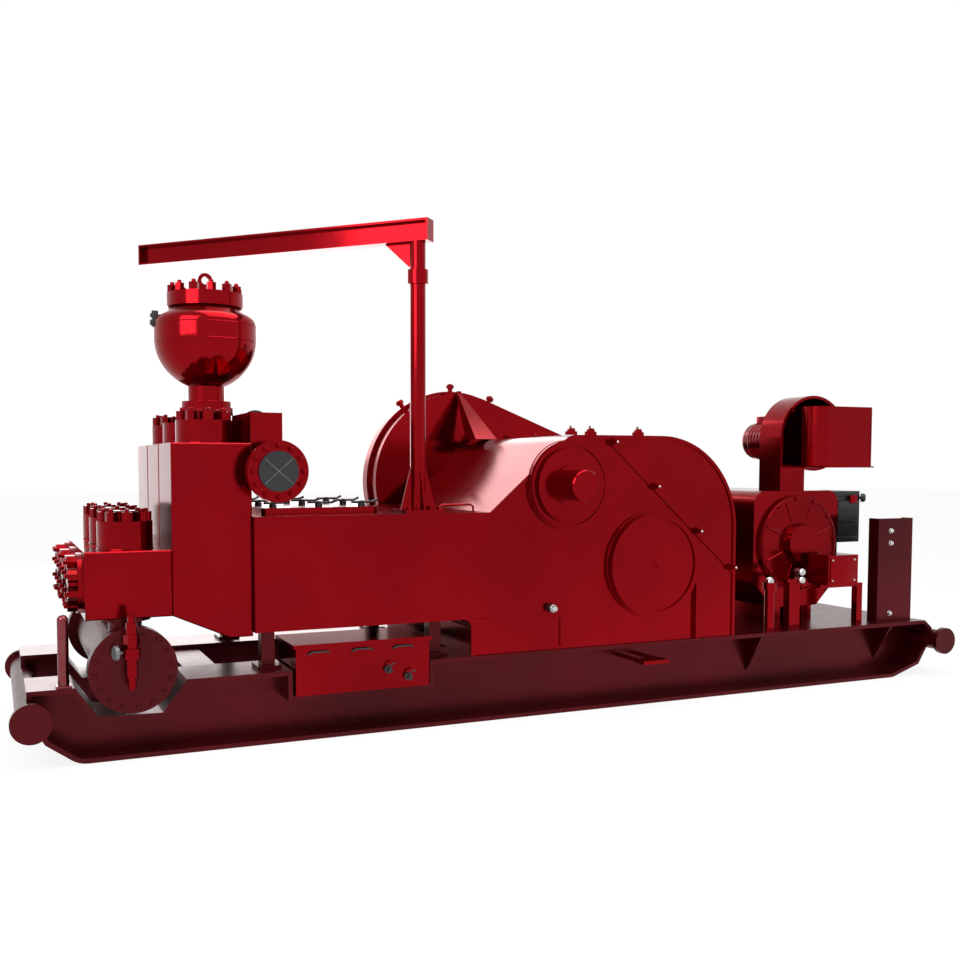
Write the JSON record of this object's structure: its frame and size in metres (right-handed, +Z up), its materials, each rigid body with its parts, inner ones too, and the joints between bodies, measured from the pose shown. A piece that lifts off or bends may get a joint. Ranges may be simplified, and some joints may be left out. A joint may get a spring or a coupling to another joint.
{
  "type": "triplex mud pump",
  "caption": "Skid-mounted triplex mud pump with stepped fluid end, pulsation dampener, crosshead frame, power end, chain case, drive motor with blower and a swivelling jib crane.",
  "frame": {"origin": "under the middle of the skid, on the plane the runners rest on, midway between the runners", "axes": "+X from the fluid end towards the drive motor, +Y towards the chain case, +Z up"},
  "size_m": [7.5518, 2.555, 3.4903],
  "materials": {
    "red_metallic_paint": "gloss",
    "maroon_skid_paint": "satin",
    "black_blank": "satin",
    "bright_steel": "satin"
  },
  "bodies": {
    "pump": {"blower_hood": "red_metallic_paint", "blower_motor": "bright_steel", "blower_scroll": "red_metallic_paint", "case_brace": "red_metallic_paint", "chain_case": "red_metallic_paint", "cover_clamps": "red_metallic_paint", "cross_members": "maroon_skid_paint", "crosshead_covers": "red_metallic_paint", "crosshead_frame": "red_metallic_paint", "cylinder_heads": "red_metallic_paint", "dampener_base": "red_metallic_paint", "dampener_body": "red_metallic_paint", "dampener_cover": "red_metallic_paint", "deck_plate": "maroon_skid_paint", "discharge_manifold": "red_metallic_paint", "discharge_modules": "red_metallic_paint", "discharge_pots": "red_metallic_paint", "drive_motor": "red_metallic_paint", "far_crank_cover": "red_metallic_paint", "far_runner": "maroon_skid_paint", "frame_legs": "maroon_skid_paint", "front_post": "bright_steel", "front_tow_bar": "maroon_skid_paint", "jib_post": "red_metallic_paint", "junction_box": "red_metallic_paint", "lifting_eye": "red_metallic_paint", "lifting_lugs": "red_metallic_paint", "lube_filter": "red_metallic_paint", "motor_end_shield": "red_metallic_paint", "motor_hub": "red_metallic_paint", "motor_louvre_box": "black_blank", "motor_stand": "red_metallic_paint", "near_crank_cover": "red_metallic_paint", "near_pinion_cover": "red_metallic_paint", "near_runner": "maroon_skid_paint", "outlet_blank": "black_blank", "pinion_cap": "red_metallic_paint", "pinion_hub": "red_metallic_paint", "power_end_housing": "red_metallic_paint", "rear_cover": "red_metallic_paint", "rear_tow_bar": "maroon_skid_paint", "rear_upright": "red_metallic_paint", "relief_valve": "red_metallic_paint", "side_step": "maroon_skid_paint", "strainer_block": "red_metallic_paint", "strainer_cap": "red_metallic_paint", "suction_blind": "red_metallic_paint", "suction_manifold": "red_metallic_paint", "suction_modules": "red_metallic_paint", "suction_pots": "red_metallic_paint", "tank_lid": "red_metallic_paint", "valve_stand": "red_metallic_paint", "wash_tank": "red_metallic_paint"},
    "jib": {"jib_arm": "red_metallic_paint"}
  },
  "joints": [
    {"name": "jib_swivel", "type": "hinge", "parent": "pump", "child": "jib", "pos_m": [-1.112, -0.7, 3.15], "axis": [0, 0, 1], "continuous": true}
  ]
}
